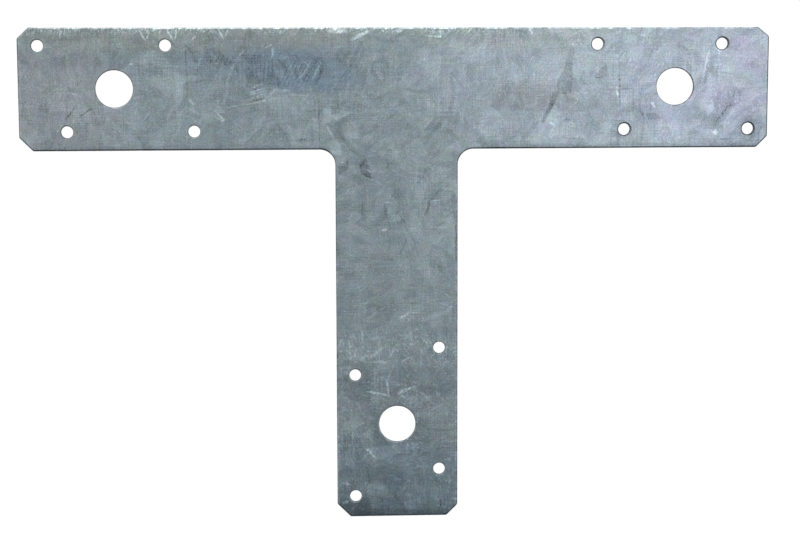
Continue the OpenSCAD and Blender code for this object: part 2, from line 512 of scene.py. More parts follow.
# Scratches, nicks and crystal seams on the front face: the start and end of each in millimetres, its half
# width, and how much lighter or darker it looks.
SCRATCHES = (
    # Left end
    ((-129.5, -7), (-132.5, -11), 0.30, -0.20),
    ((-124, -8.5), (-128.5, -11.5), 0.35, -0.22),
    ((-98, -9.5), (-101.5, -12.5), 0.30, -0.14),
    ((-131, -1.5), (-127.5, -3), 0.35, 0.12),
    ((-135, 23), (-135, 20.5), 0.25, 0.35),
    ((-107, 10), (-106.7, 10), 0.35, 0.30),
    # Left arm
    ((-103, 23), (-101.5, 20), 0.35, 0.35),
    ((-99.5, 22.5), (-100.5, 20), 0.30, 0.25),
    ((-92, 23), (-90.5, 20.5), 0.35, 0.35),
    ((-88.5, 23.5), (-89, 20.5), 0.30, 0.30),
    ((-82.5, 19.5), (-81, 21), 0.30, 0.25),
    ((-71.5, 23.5), (-70, 20.5), 0.35, 0.35),
    ((-68, 23.5), (-69, 21), 0.30, 0.30),
    ((-62, 15), (-64.5, 12), 0.25, 0.20),
    ((-84.5, 10), (-84.5, -9), 0.30, -0.07),
    ((-72.5, -10), (-70, -12.5), 0.40, 0.30),
    ((-72.5, -12), (-70.5, -13), 0.35, 0.25),
    ((-73, -8.5), (-69.5, -9.5), 0.60, 0.10),
    ((-83.5, -4.5), (-82.5, -6), 0.45, 0.20),
    ((-79, 12), (-80.5, 9), 0.30, 0.14),
    ((-85, 16.5), (-85, 10.5), 0.30, -0.14),
    ((-85, -7.5), (-80.5, -10), 0.30, 0.10),
    ((-80.5, -10), (-76.5, -10.5), 0.30, 0.08),
    ((-74, -6.5), (-71, -8), 0.30, 0.10),
    ((-62, 14.5), (-66, 9), 0.45, 0.08),
    ((-66, 9), (-68.5, 3), 0.45, 0.10),
    ((-68.5, 3), (-68.5, -2), 0.45, 0.08),
    ((-68.5, -2), (-71, -7.5), 0.45, 0.06),
    ((-59, 0), (-54, 2), 0.22, 0.22),
    ((-59, -1.5), (-53.5, 0), 0.22, 0.26),
    ((-59, -2.5), (-53.5, -1), 0.22, 0.26),
    ((-59.5, -4.5), (-54.5, -2.5), 0.22, 0.22),
    ((-61.5, 9), (-61.5, 1), 0.18, 0.12),
    ((-63.2, 8), (-63, 0.5), 0.18, 0.10),
    ((-65, 6.5), (-64.8, -1), 0.18, 0.10),
    ((-52.5, 11), (-53, 4), 0.18, 0.10),
    ((-58.5, -5.5), (-53.5, -4), 0.35, -0.18),
    ((-68, -7.5), (-59.5, -6.2), 0.30, 0.12),
    ((-59.5, -6.2), (-53.5, -4.8), 0.35, 0.14),
    ((-53.5, -4.8), (-49, -0.5), 0.40, 0.16),
    ((-49, -0.5), (-44, -1), 0.40, 0.20),
    ((-43, -2.5), (-37, -3), 0.35, 0.15),
    ((-36.5, -3.5), (-36, -6), 0.30, 0.10),
    ((-36, -6), (-32, -7), 0.30, 0.10),
    ((-37.5, 3), (-32.5, 11), 0.35, -0.12),
    ((-32.5, 2), (-29.5, 7.5), 0.35, -0.12),
    ((-40, 3.5), (-37.5, 6), 0.30, 0.16),
    ((-32.3, -6.5), (-32.3, -11), 0.25, 0.14),
    ((-50, 15.5), (-50.2, 13), 0.40, 0.30),
    ((-52.5, 16.5), (-50.5, 17.5), 0.35, 0.25),
    ((-31, 9.5), (-34, 3.5), 0.30, 0.24),
    ((-35, 11), (-37.5, 6), 0.25, 0.14),
    ((-37, 7), (-39.5, 3), 0.25, 0.12),
    ((-46, 10.5), (-43.5, 6.5), 0.35, -0.08),
    ((-48, 5), (-47.8, 1), 0.45, -0.12),
    ((-31.5, -7), (-31.3, -23), 0.25, -0.13),
    ((-40, -21), (-37.5, -21), 0.25, -0.20),
    ((-28, -16), (-26, -19.5), 0.45, 0.20),
    # Middle
    ((-26.5, 23), (-21.5, 23), 0.80, 0.36),
    ((-17, 20), (-12, 22.5), 0.65, 0.36),
    ((0.5, 23), (2, 23), 0.60, 0.35),
    ((12.5, 21), (17.5, 20.5), 0.25, 0.30),
    ((17.8, 23), (17.8, 20.8), 0.30, 0.30),
    ((11.3, 11.5), (11.6, 11.2), 0.35, 0.25),
    ((-19, 8.5), (-14.5, 17.5), 0.70, -0.08),
    ((-24.5, -12.5), (-18, -9.5), 0.50, 0.12),
    ((-22, -20.5), (-17.5, -25.5), 0.80, -0.10),
    ((11, -17), (14.5, -12.5), 0.30, 0.10),
    ((17, 15), (17, -9), 0.30, 0.05),
    ((27.5, 14.5), (27.5, -9), 0.80, 0.04),
    # Right arm
    ((29, 22), (30.5, 24), 0.30, 0.30),
    ((54, 24), (55, 22), 0.30, 0.30),
    ((64.8, -4.4), (62, -9.8), 0.35, -0.08),
    ((64.2, -2.6), (66.2, 3), 0.30, -0.08),
    ((63, -14.5), (64.5, -16), 0.35, 0.20),
    ((75, 2.5), (76.5, 6.5), 0.60, -0.08),
    ((75, -23.3), (88, -23.3), 0.35, 0.10),
    ((91, 5), (91.2, -6.5), 0.26, -0.24),
    ((90.2, -0.3), (90.4, -0.8), 0.30, 0.22),
    ((90, -2), (90.5, -3.5), 0.35, 0.28),
    ((104, -5.5), (104, -9.5), 0.25, -0.16),
    ((104.5, -6.5), (105.5, -8), 0.45, 0.25),
    ((100, -10), (102.3, -14), 0.40, -0.12),
    ((106, 13.5), (109.5, 17), 0.35, 0.12),
    # Right end
    ((127.2, 13), (125, 2), 0.40, 0.16),
    ((140, -7), (136, -8), 0.35, -0.10),
    ((136, -8), (131.5, -14), 0.40, -0.16),
    ((115.5, 17), (118.5, 14), 1.00, -0.08),
    ((140, 2.5), (137.5, -3), 0.35, 0.08),
    # Leg, from the bar down
    ((-5, -46.7), (-2, -46.7), 0.20, 0.22),
    ((14.5, -46), (17, -46), 0.25, 0.22),
    ((-5.5, -58), (-4.5, -57.8), 0.45, 0.35),
    ((4.5, -57.5), (8, -57.5), 0.20, 0.16),
    ((14.5, -57), (20.5, -57.2), 0.25, 0.16),
    ((-5, -48), (-3, -57), 0.45, -0.10),
    ((1.5, -52.5), (3, -55), 0.40, -0.14),
    ((-12.5, -33.2), (-10.8, -34), 0.35, 0.22),
    ((-13.5, -35.2), (-10.5, -36.5), 0.50, -0.12),
    ((-14.5, -31.5), (-13, -29.5), 0.50, -0.12),
    ((11.5, -53), (13.5, -46.5), 0.40, -0.14),
    ((13.5, -46.5), (16, -43.5), 0.35, -0.10),
    ((1.5, -67), (4, -62), 0.35, -0.10),
    ((15, -43.5), (21, -40), 0.35, -0.08),
    ((-23.5, -58.5), (24, -58.5), 0.20, 0.05),
    ((24.2, -57), (24.3, -69), 0.45, -0.25),
    ((-14.5, -100.5), (-14.2, -104.3), 0.45, 0.15),
    ((-18.2, -101), (-16.5, -104.5), 0.45, 0.11),
    ((-12, -95), (-9, -92.5), 0.45, 0.12),
    ((-11.5, -103.2), (-6, -102.6), 0.55, 0.11),
    ((-15.5, -111), (-10.8, -110), 0.60, 0.11),
    ((-10.8, -111), (-6, -107), 0.55, 0.14),
    ((-3, -110.5), (0, -105.5), 0.45, 0.15),
    ((5.7, -100.5), (5.7, -106), 0.50, 0.11),
    ((10, -109), (9.8, -114), 0.45, 0.13),
    ((10.5, -95.5), (21, -92), 0.90, 0.07),
    ((-9.5, -115.5), (-9.5, -123.5), 0.18, 0.12),
    ((-8, -116), (-8, -124.5), 0.18, 0.12),
    ((-6.5, -116), (-6.5, -125), 0.18, 0.12),
    ((12, -128), (16, -131.5), 0.35, 0.10),
    ((13.5, -133.5), (18.5, -131), 0.35, 0.10),
    ((17.5, -127.5), (21, -131), 0.35, 0.10),
    ((1.5, -94.5), (4.7, -92.5), 0.35, 0.28),
    ((6, -92.3), (8, -92.3), 0.25, 0.18),
    ((20.5, -91), (24.3, -89), 0.25, 0.15),
    ((-15, -88.3), (-12, -88.3), 0.20, 0.15),
    ((-8.2, -112.8), (-5.2, -113), 0.55, 0.20),
    ((2.5, -112.5), (4.5, -111.3), 0.40, 0.25),
    ((-12, -125.3), (-4.7, -126.7), 0.42, 0.34),
    ((-3.7, -126.2), (-4.3, -121), 0.34, 0.28),
    ((-4.3, -121), (-2, -115.5), 0.30, 0.14),
    ((1, -125.8), (6.3, -123.6), 0.55, 0.30),
    ((1, -126), (2.5, -127.5), 0.50, 0.16),
    ((10.5, -126), (11, -126.3), 0.35, 0.25),
    ((-18.5, -142.5), (-18.7, -146), 0.22, 0.22),
    ((-12.3, -150), (-9.6, -152.7), 0.40, 0.32),
    ((-12.5, -149.8), (-11.3, -150.8), 0.55, 0.20),
    ((-14.5, -154), (-12.5, -151.5), 0.35, 0.15),
    ((-22.3, -163.8), (-20, -164.5), 0.50, 0.20),
    ((-22.3, -172), (-21, -171.7), 0.60, 0.35),
    ((-9, -167), (-9, -168.5), 0.30, -0.20),
    ((18, -172), (18, -174), 0.30, -0.25),
)

# Rows of like scratches, where a crystal's feathers show: the first scratch as above, the step from one to
# the next in millimetres, and how many there are.
HATCHES = (
    ((-48, 0), (-44, 8.5), 0.25, -0.10, (1.9, 0.3), 9),
    ((-46.5, 4), (-44, 10), 0.20, 0.09, (1.9, 0.2), 8),
    ((-75.5, 9.5), (-73, 14.5), 0.25, -0.08, (1.8, -0.4), 5),
    ((-58.5, 2.5), (-58, 10), 0.20, -0.09, (1.6, 0.2), 6),
)

# Casts of colour over parts of the front face, of which some along the lower edges and over the foot are
# painted shade: the start, end and half width of each in millimetres, and its factors of red, green and blue.
CASTS_AND_PAINTED_SHADE = (
    # Bar
    ((-149, 23), (-28, 23), 8.0, (1.09, 1.04, 0.96)),
    ((-150, 19), (-112, 19), 10.0, (0.85, 0.86, 0.86)),
    ((-150, 23), (-122, 23), 4.0, (0.86, 0.86, 0.86)),
    ((-152, -4), (-128, -4), 18.0, (1.03, 0.97, 0.96)),
    ((-128, -14), (-110, -16), 6.0, (1.07, 1.07, 1.07)),
    ((-95, 8), (-22, 2), 18.0, (0.92, 0.92, 0.93)),
    ((-82, 13), (-24, 6), 9.0, (0.88, 0.91, 0.94)),
    ((-54, 9), (-26, 5), 7.0, (0.95, 1.00, 1.06)),
    ((-94, 0), (-80, -6), 7.0, (1.12, 1.12, 1.11)),
    ((-22, 15), (14, 13), 9.0, (0.92, 0.92, 0.92)),
    ((14, 23), (75, 23), 7.0, (1.03, 1.01, 0.95)),
    ((22, 12), (52, 8), 12.0, (1.07, 1.07, 1.07)),
    ((118, 22), (146, 22), 7.0, (0.86, 0.86, 0.86)),
    ((126, 0), (152, 0), 27.0, (1.02, 0.97, 1.04)),
    ((141, 16), (149, 9), 5.0, (1.06, 0.97, 1.03)),
    ((134, -4), (146, -6), 5.0, (1.05, 0.98, 1.03)),
    ((129, -6), (139, -12), 5.0, (1.12, 1.11, 1.12)),
    ((149, 2), (148, -22), 8.0, (0.82, 0.83, 0.83)),
    ((40, 0), (95, -4), 22.0, (1.02, 0.99, 1.03)),
    ((46, -3), (67, -5), 6.0, (0.87, 0.85, 0.83)),
    ((73, 23), (80, 9), 5.0, (1.11, 1.11, 1.10)),
    ((-144, -12), (-134, -15), 5.0, (0.89, 0.89, 0.90)),
    ((-98, 10), (-92, 4), 5.0, (1.12, 1.12, 1.11)),
    ((24, 22), (50, 22), 4.0, (0.88, 0.88, 0.89)),
    ((-2, 22.5), (8, 22.5), 3.0, (1.12, 1.12, 1.10)),
    ((125, 1), (124.5, -8), 3.0, (0.88, 0.88, 0.89)),
    ((137, -10), (145, -15), 4.0, (0.92, 0.92, 0.93)),
    # The next four are painted shade along the lower edges of the arms, whose rolled rims mirror the dark card
    # at the front
    ((39, -23.4), (54, -23.6), 2.2, (0.82, 0.82, 0.83)),
    ((127, -23), (137, -23.5), 2.2, (0.84, 0.84, 0.85)),
    ((-145, -24.6), (-32, -24.6), 1.6, (0.88, 0.88, 0.89)),
    ((45, -24.6), (150, -24.6), 1.6, (0.80, 0.80, 0.81)),
    ((122, -17), (150, -18), 6.0, (0.92, 0.92, 0.93)),
    ((104, -10), (126, -11), 4.0, (0.88, 0.89, 0.90)),
    # Leg
    ((-23, -27), (-18, -40), 5.0, (1.12, 1.12, 1.12)),
    ((-9, -32), (-4, -54), 9.0, (0.86, 0.87, 0.88)),
    ((2, -76), (9, -76), 6.0, (1.08, 1.08, 1.08)),
    ((22, -78), (22, -98), 5.0, (0.88, 0.88, 0.89)),
    ((-14, -121), (22, -121), 6.0, (0.86, 0.87, 0.88)),
    ((-21, -104), (-20, -114), 3.5, (1.13, 1.13, 1.13)),
    ((22, -112), (24, -122), 3.0, (0.90, 0.90, 0.91)),
    ((14, -58.5), (24, -58.5), 3.5, (0.90, 0.90, 0.90)),
    ((-22, -80), (-21, -98), 4.0, (0.92, 0.92, 0.92)),
    ((13, -30), (22, -29), 3.5, (0.90, 0.90, 0.90)),
    ((-12, -161), (-7, -162), 3.0, (0.88, 0.88, 0.89)),
    ((8, -162), (24, -162), 3.5, (0.92, 0.92, 0.92)),
    ((18, -119), (23, -127), 4.0, (0.86, 0.87, 0.88)),
    ((-17, -173), (-2, -174), 4.0, (0.84, 0.85, 0.86)),
    # Painted shade along the end of the foot, where the drooping sheet mirrors the dark card at the front
    ((-22, -178), (22, -178), 2.6, (0.74, 0.75, 0.77)),
    ((-23, -127), (-12, -137), 5.0, (0.92, 0.92, 0.93)),
    ((-22, -142), (-14, -164), 9.0, (1.16, 1.14, 1.12)),
    ((-23, -148), (-21, -174), 4.5, (1.10, 1.09, 1.08)),
    # Painted shade over the foot, with a bluer cast
    ((-30, -166), (30, -182), 26.0, (0.84, 0.90, 0.95)),
)

# Squares of the way out from the middle of a stroke, where its rim is 1: up to where its tone is full, and
# where the tone of a scratch and that of a cast, painted shade included, have faded away
FULL_TONE = 0.6
MARK_FADE = 2.2
CAST_AND_SHADE_FADE = 1.8

# How far to either side of its rim the tone of a patch fades, and a depth that no patch has, in millimetres
PATCH_FADE = 0.2
PAST_DEEPEST = -100.0

# The sides of a patch
SIDES = ("Side A", "Side B", "Side C", "Side D")

# Settings of a Map Range that eases from one tone to another. Easing stays between the two by itself, and
# with clamps the zinc would need more room than Cycles gives a material.
EASED = {"interpolation_type": "SMOOTHSTEP", "clamp": False}


def light_of(tone):
    """How much more light makes a thing look lighter by the tone, on a screen with a gamma of 2.2."""
    return (1 + tone) ** 2.2 - 1


def new_group(name, vectors, numbers):
    """An empty node group with the named vector and number inputs and a Level output, and its inputs."""
    group = bpy.data.node_groups.new(name, "ShaderNodeTree")
    for kind, names in (("NodeSocketVector", vectors), ("NodeSocketFloat", numbers)):
        for socket in names:
            group.interface.new_socket(socket, in_out="INPUT", socket_type=kind)
    group.interface.new_socket("Level", in_out="OUTPUT", socket_type="NodeSocketFloat")
    return group, add(group, "NodeGroupInput", {}).outputs


def stroke_group():
    """A node group that draws one lens-shaped stroke over a level. Along and Across turn the place into the
    stroke's own frame, where its rim is the unit circle, and the tone fades away from inside that to the
    Fade."""
    group, given = new_group("stroke", ("Place", "Along", "Across"), ("Fade", "Tone", "Level"))
    squared = 0.0
    for way in ("Across", "Along"):
        out = add(group, "ShaderNodeVectorMath", {0: given["Place"], 1: given[way]}, operation="DOT_PRODUCT")
        part = out.outputs["Value"]
        squared = add(group, "ShaderNodeMath", {0: part, 1: part, 2: squared}, operation="MULTIPLY_ADD")
    tone = add(group, "ShaderNodeMapRange", {"Value": squared, "From Min": given["Fade"],
                                             "From Max": FULL_TONE, "To Max": given["Tone"]}, **EASED)
    level = add(group, "ShaderNodeMath", {0: given["Level"], 1: tone})
    add(group, "NodeGroupOutput", {"Level": level})
    return group


def patch_group():
    """A node group that lays one four-sided patch over a level. A side's dot product with the place is how
    far out of that side the place is, and the tone fades across the side that it is furthest out of."""
    group, given = new_group("patch", ("Place", *SIDES), ("Tone", "Level"))
    furthest = PAST_DEEPEST
    for side in SIDES:
        out = add(group, "ShaderNodeVectorMath", {0: given["Place"], 1: given[side]},
                  operation="DOT_PRODUCT")
        furthest = add(group, "ShaderNodeMath", {0: furthest, 1: out.outputs["Value"]}, operation="MAXIMUM")
    tone = add(group, "ShaderNodeMapRange", {"Value": furthest, "From Min": PATCH_FADE,
                                             "From Max": -PATCH_FADE, "To Max": given["Tone"]}, **EASED)
    level = add(group, "ShaderNodeMath", {0: given["Level"], 1: tone})
    add(group, "NodeGroupOutput", {"Level": level})
    return group


def patch(tree, group, place, corners, tone, level):
    """One patch of the group over a level, with three or four corners in millimetres across the sheet. A
    side is its outward normal and minus its distance from the origin, and a triangle has its last side
    twice."""
    corners = np.array(corners, float)
    ahead = np.roll(corners, -1, axis=0) - corners
    turn = np.sign(ahead[0, 0] * ahead[1, 1] - ahead[0, 1] * ahead[1, 0])
    normal = turn * np.stack([ahead[:, 1], -ahead[:, 0]], axis=1) / np.linalg.norm(ahead, axis=1)[:, None]
    sides = np.column_stack([normal, -np.sum(normal * corners, axis=1)]).tolist()
    named = dict(zip(SIDES, sides + sides[-1:]))
    return add(tree, "ShaderNodeGroup", {"Place": place, **named, "Tone": tone, "Level": level},
               node_tree=group)


def stroke(tree, group, place, start, end, half_width, fade, tone, level):
    """One stroke of the group over a level, with its start and end in millimetres across the sheet. The
    place's third part is 1, so the third part of each of its two rows takes the stroke's middle away."""
    middle = (np.array(start) + np.array(end)) / 2
    way = np.array(end) - np.array(start)
    length = np.linalg.norm(way)
    along = way / length / (length / 2 + half_width)
    across = np.array([-way[1], way[0]]) / length / half_width
    return add(tree, "ShaderNodeGroup", {"Place": place, "Along": (*along, -along @ middle),
                                         "Across": (*across, -across @ middle), "Fade": fade, "Tone": tone,
                                         "Level": level}, node_tree=group)


def face_place(tree, place):
    """The place across the sheet, where the back face has another stretch of the pattern than the front. Its
    third part is 1."""
    back_height = 0.3
    back_shift = 700.0
    parts = add(tree, "ShaderNodeSeparateXYZ", {0: place})
    behind = add(tree, "ShaderNodeMath", {0: parts.outputs["Z"], 1: back_height}, operation="LESS_THAN")
    shifted = add(tree, "ShaderNodeMath", {0: behind, 1: back_shift, 2: parts.outputs["X"]},
                  operation="MULTIPLY_ADD")
    return add(tree, "ShaderNodeCombineXYZ", {"X": shifted, "Y": parts.outputs["Y"], "Z": 1.0})


def ruffled(tree, place, features, reach):
    """A place pushed about by noise with so many features to a millimetre, by up to about the reach in
    millimetres."""
    push = add(tree, "ShaderNodeTexNoise", {"Vector": place, "Scale": features, "Detail": 4.0,
                                            "Roughness": 0.65}, noise_dimensions="2D")
    centred = add(tree, "ShaderNodeVectorMath", {0: push.outputs["Color"], 1: (0.5, 0.5, 0.5)},
                  operation="SUBTRACT")
    return add(tree, "ShaderNodeVectorMath", {0: centred, 1: (2 * reach, 2 * reach, 0.0), 2: place},
               operation="MULTIPLY_ADD")


def drawn_out(tree, place, angle, across, along):
    """The place seen along a direction, in units of so many millimetres across it and along it."""
    turned = add(tree, "ShaderNodeVectorRotate", {"Vector": place, "Angle": angle}, rotation_type="Z_AXIS")
    return add(tree, "ShaderNodeVectorMath", {0: turned, 1: (1 / across, 1 / along, 1.0)},
               operation="MULTIPLY")


def toned(tree, level, value, low, high, reach):
    """A level with a tone added: from minus the reach where the value is low, to plus the reach where it is
    high."""
    tone = add(tree, "ShaderNodeMapRange", {"Value": value, "From Min": low, "From Max": high,
                                            "To Min": -reach, "To Max": reach}, clamp=False)
    return add(tree, "ShaderNodeMath", {0: level, 1: tone})


def mottled(tree, level, place, features, detail, roughness, reach):
    """A level with noise added, by up to about the reach either way, and the noise by itself. It has so many
    features to a unit of the place, and most of it lies between 0.25 and 0.75."""
    noise = add(tree, "ShaderNodeTexNoise", {"Vector": place, "Scale": features, "Detail": detail,
                                             "Roughness": roughness}, noise_dimensions="2D")
    return toned(tree, level, noise, 0.25, 0.75, reach), noise


def scattered(tree, place, features, detail, low, high, tone):
    """A tone scattered over the sheet: noise with so many features to a unit of the place, eased from 0 at
    its low mark to the tone at its high mark."""
    noise = add(tree, "ShaderNodeTexNoise", {"Vector": place, "Scale": features, "Detail": detail},
                noise_dimensions="2D")
    return add(tree, "ShaderNodeMapRange", {"Value": noise, "From Min": low, "From Max": high,
                                            "To Max": tone}, **EASED)


def zinc_crystals(tree, flat, shaky, finish):
    """Level of the zinc's crystals, the direction of each, its random shares, and the facets.

    Each crystal has a random tone and direction, with needles and feathers along that direction, and the
    coat breaks up into small facets as well."""
    wavy = ruffled(tree, flat, 0.15, 1.5)
    torn = ruffled(tree, flat, 0.3, 1.4)
    crystal = add(tree, "ShaderNodeTexVoronoi", {"Vector": wavy, "Scale": MM / finish.crystal_size},
                  voronoi_dimensions="2D")
    shares = add(tree, "ShaderNodeSeparateColor", {"Color": crystal.outputs["Color"]})
    angle = add(tree, "ShaderNodeMath", {0: shares.outputs["Green"], 1: 2 * math.pi}, operation="MULTIPLY")
    needles = drawn_out(tree, shaky, angle, 2.2, 7.0)
    needle = add(tree, "ShaderNodeTexVoronoi", {"Vector": needles, "Scale": 1.0}, voronoi_dimensions="2D")
    needle_shares = add(tree, "ShaderNodeSeparateColor", {"Color": needle.outputs["Color"]})
    facet = add(tree, "ShaderNodeTexVoronoi", {"Vector": torn, "Scale": 3 * MM / finish.crystal_size},
                voronoi_dimensions="2D")
    facet_shares = add(tree, "ShaderNodeSeparateColor", {"Color": facet.outputs["Color"]})
    level = 1.0
    for random, reach in ((shares, 0.06), (needle_shares, 0.10), (facet_shares, 0.07)):
        level = toned(tree, level, random, 0.0, 1.0, reach)
    level, _ = mottled(tree, level, drawn_out(tree, shaky, angle, 0.6, 3.0), 1.0, 2.0, 0.6, 0.08)
    return level, angle, shares, facet


def mill_finish(tree, flat, level):
    """A level with clouds of thicker coat, grain, and lines that the mill's rolls left along the bar and
    across it, and the grain by itself. The grain is drawn coarser than the real one, so that it shows."""
    level, _ = mottled(tree, level, flat, 0.035, 3.0, 0.5, 0.06)
    level, grain = mottled(tree, level, flat, 1.7, 2.0, 0.8, 0.26)
    for turn in (0.0, math.pi / 2):
        lines, _ = mottled(tree, 0.0, drawn_out(tree, flat, turn, 0.45, 14.0), 1.0, 2.0, 0.5, 0.14)
        kept = scattered(tree, flat, 0.06, 2.0, 0.35, 0.65, 1.0)
        level = add(tree, "ShaderNodeMath", {0: lines, 1: kept, 2: level}, operation="MULTIPLY_ADD")
    return level, grain


def handling_wear(tree, flat, shaky, angle, level):
    """A level with wisps along each crystal's direction, in drifts and all over the lower leg, fine streaks
    in three directions, and bright flecks where the upper edge was scuffed, apart from its right end."""
    parts = add(tree, "ShaderNodeSeparateXYZ", {0: flat})
    feathers = drawn_out(tree, shaky, angle, 1.6, 4.5)
    ridges = add(tree, "ShaderNodeTexNoise", {"Vector": feathers, "Scale": 1.0, "Detail": 1.0,
                                              "Roughness": 0.7, "Offset": 1.0, "Gain": 1.0},
                 noise_dimensions="2D", noise_type="RIDGED_MULTIFRACTAL", normalize=False)
    wisps = add(tree, "ShaderNodeMapRange", {"Value": ridges, "From Min": 1.1, "From Max": 1.55}, **EASED)
    lower_leg = add(tree, "ShaderNodeMapRange", {"Value": parts.outputs["Y"], "From Min": -85.0,
                                                 "From Max": -110.0, "To Max": 0.35}, **EASED)
    drifts = scattered(tree, flat, 0.08, 2.0, 0.45, 0.6, 0.3)
    drifts = add(tree, "ShaderNodeMath", {0: drifts, 1: lower_leg})
    level = add(tree, "ShaderNodeMath", {0: wisps, 1: drifts, 2: level}, operation="MULTIPLY_ADD")
    for degrees, across, along, tone in ((28, 0.4, 4.0, 0.4), (-32, 0.4, 3.0, 0.4), (88, 0.35, 5.0, 0.3)):
        way = drawn_out(tree, flat, math.radians(degrees), across, along)
        level = add(tree, "ShaderNodeMath", {0: level, 1: scattered(tree, way, 1.0, 1.0, 0.70, 0.82, tone)})

    flecks = scattered(tree, drawn_out(tree, shaky, math.radians(25), 0.6, 1.6), 1.0, 2.0, 0.53, 0.63, 1.0)
    scuffed = scattered(tree, flat, 0.07, 1.0, 0.2, 0.5, 1.0)
    for axis, low, high, tone in (("Y", 20.5, 24.2, 1.1), ("X", 70.0, 10.0, 1.0)):
        here = add(tree, "ShaderNodeMapRange", {"Value": parts.outputs[axis], "From Min": low,
                                                "From Max": high, "To Max": tone}, **EASED)
        scuffed = add(tree, "ShaderNodeMath", {0: scuffed, 1: here}, operation="MULTIPLY")
    return add(tree, "ShaderNodeMath", {0: flecks, 1: scuffed, 2: level}, operation="MULTIPLY_ADD")


def plate_marks(tree, flat, shaky, strokes, level):
    """A level with the patches and the scratches of this plate. Noise breaks the scratches up."""
    crisp = ruffled(tree, flat, 0.8, 0.35)
    patches = patch_group()
    for corners, tone in PATCHES:
        level = patch(tree, patches, crisp, corners, light_of(tone), level)
    marks = 0.0
    for start, end, half, tone in SCRATCHES:
        marks = stroke(tree, strokes, shaky, start, end, half, MARK_FADE, light_of(tone), marks)
    for start, end, half, tone, step, count in HATCHES:
        light = light_of(tone)
        for shift in np.outer(np.arange(count), step):
            marks = stroke(tree, strokes, shaky, start + shift, end + shift, half, MARK_FADE, light, marks)
    noise = add(tree, "ShaderNodeTexNoise", {"Vector": flat, "Scale": 0.9, "Detail": 2.0},
                noise_dimensions="2D")
    broken = add(tree, "ShaderNodeMapRange", {"Value": noise, "From Min": 0.35, "From Max": 0.65,
                                              "To Min": 0.45, "To Max": 1.3}, clamp=False)
    return add(tree, "ShaderNodeMath", {0: marks, 1: broken, 2: level}, operation="MULTIPLY_ADD")


def zinc_colour(tree, flat, facet, strokes, finish):
    """Colour of the zinc at a level of 1, with casts that change across it, from facet to facet, and over
    parts of the plate, some of which are painted shade."""
    noise = add(tree, "ShaderNodeTexNoise", {"Vector": flat, "Scale": 0.25, "Detail": 1.5},
                noise_dimensions="2D")
    hue = add(tree, "ShaderNodeVectorMath", {0: noise.outputs["Color"], 1: (0.16, 0.14, 0.18),
                                             2: (0.92, 0.93, 0.91)}, operation="MULTIPLY_ADD")
    facet_hue = add(tree, "ShaderNodeVectorMath", {0: facet.outputs["Color"], 1: (0.04, 0.03, 0.04),
                                                   2: (0.98, 0.985, 0.98)}, operation="MULTIPLY_ADD")
    tint = (1.0, 1.0, 1.0)
    # Some of these casts are painted shade, along the lower edges of the arms and over the foot
    for start, end, half, factors in CASTS_AND_PAINTED_SHADE:
        share = stroke(tree, strokes, flat, start, end, half, CAST_AND_SHADE_FADE, 1.0, 0.0)
        cast_and_shade = add(tree, "ShaderNodeVectorMath", {0: tint, 1: factors}, operation="MULTIPLY")
        tint = add(tree, "ShaderNodeMix", {0: share, 4: tint, 5: cast_and_shade}, data_type="VECTOR").outputs[1]
    for factors in (facet_hue, tuple(finish.zinc), tint):
        hue = add(tree, "ShaderNodeVectorMath", {0: hue, 1: factors}, operation="MULTIPLY")
    return hue


def zinc_material(finish):
    """Hot-dip galvanised zinc, as it froze on the sheet.

    The coat is a patchwork of flat crystals, each with feathers that run its own way, so the eye sees faint
    leaf-like patches of lighter and darker grey, with fine grain, bright seams and handling scratches."""
    material, tree = new_material("galvanised_zinc")
    flat = face_place(tree, metal_place(tree))
    shaky = ruffled(tree, flat, 1.2, 0.6)
    strokes = stroke_group()
    level, angle, shares, facet = zinc_crystals(tree, flat, shaky, finish)
    level, grain = mill_finish(tree, flat, level)
    level = handling_wear(tree, flat, shaky, angle, level)
    level = plate_marks(tree, flat, shaky, strokes, level)
    # The rims' painted light from the mesh: painted shade down the rolls and a painted highlight along the
    # upper edge
    rim = add(tree, "ShaderNodeAttribute", {}, attribute_name="rim_painted_light")
    level = add(tree, "ShaderNodeMath", {0: level, 1: rim.outputs["Fac"]})
    darkest = 0.1
    level = add(tree, "ShaderNodeMath", {0: level, 1: darkest}, operation="MAXIMUM")
    colour = zinc_colour(tree, flat, facet, strokes, finish)
    colour = add(tree, "ShaderNodeVectorMath", {0: colour, "Scale": level}, operation="SCALE")
    rough = add(tree, "ShaderNodeMapRange", {"Value": shares.outputs["Blue"], "To Min": 0.29,
                                             "To Max": 0.37})
    relief = add(tree, "ShaderNodeBump", {"Height": grain, "Strength": 0.1, "Distance": 0.02 * MM})
    metal_surface(tree, colour, rough, relief)
    return material


def edge_material(finish):
    """Steel as a punch leaves it: a bright burnished band with fine upright streaks, a torn band that its
    rough surface makes dull, and painted shade that darkens the walls in the holes."""
    material, tree = new_material("punched_steel_edge")
    upright = add(tree, "ShaderNodeVectorMath", {0: metal_place(tree), 1: (6.0, 6.0, 0.5)},
                  operation="MULTIPLY")
    streak = add(tree, "ShaderNodeTexNoise", {"Vector": upright, "Scale": 1.0, "Detail": 3.0})
    shade = add(tree, "ShaderNodeMapRange", {"Value": streak, "From Min": 0.3, "From Max": 0.7,
                                             "To Min": 0.8, "To Max": 1.15})
    # Painted shade that darkens the walls of the holes
    hole = add(tree, "ShaderNodeAttribute", {}, attribute_name="in_hole")
    wall = add(tree, "ShaderNodeMapRange", {"Value": hole.outputs["Fac"], "To Min": 1.0,
                                            "To Max": finish.painted_hole_wall_shade})
    shade = add(tree, "ShaderNodeMath", {0: shade, 1: wall}, operation="MULTIPLY")
    colour = add(tree, "ShaderNodeVectorMath", {0: tuple(finish.edge), "Scale": shade}, operation="SCALE")
    relief = add(tree, "ShaderNodeBump", {"Height": streak, "Strength": 0.3, "Distance": 0.03 * MM})
    metal_surface(tree, colour, 0.42, relief)
    return material


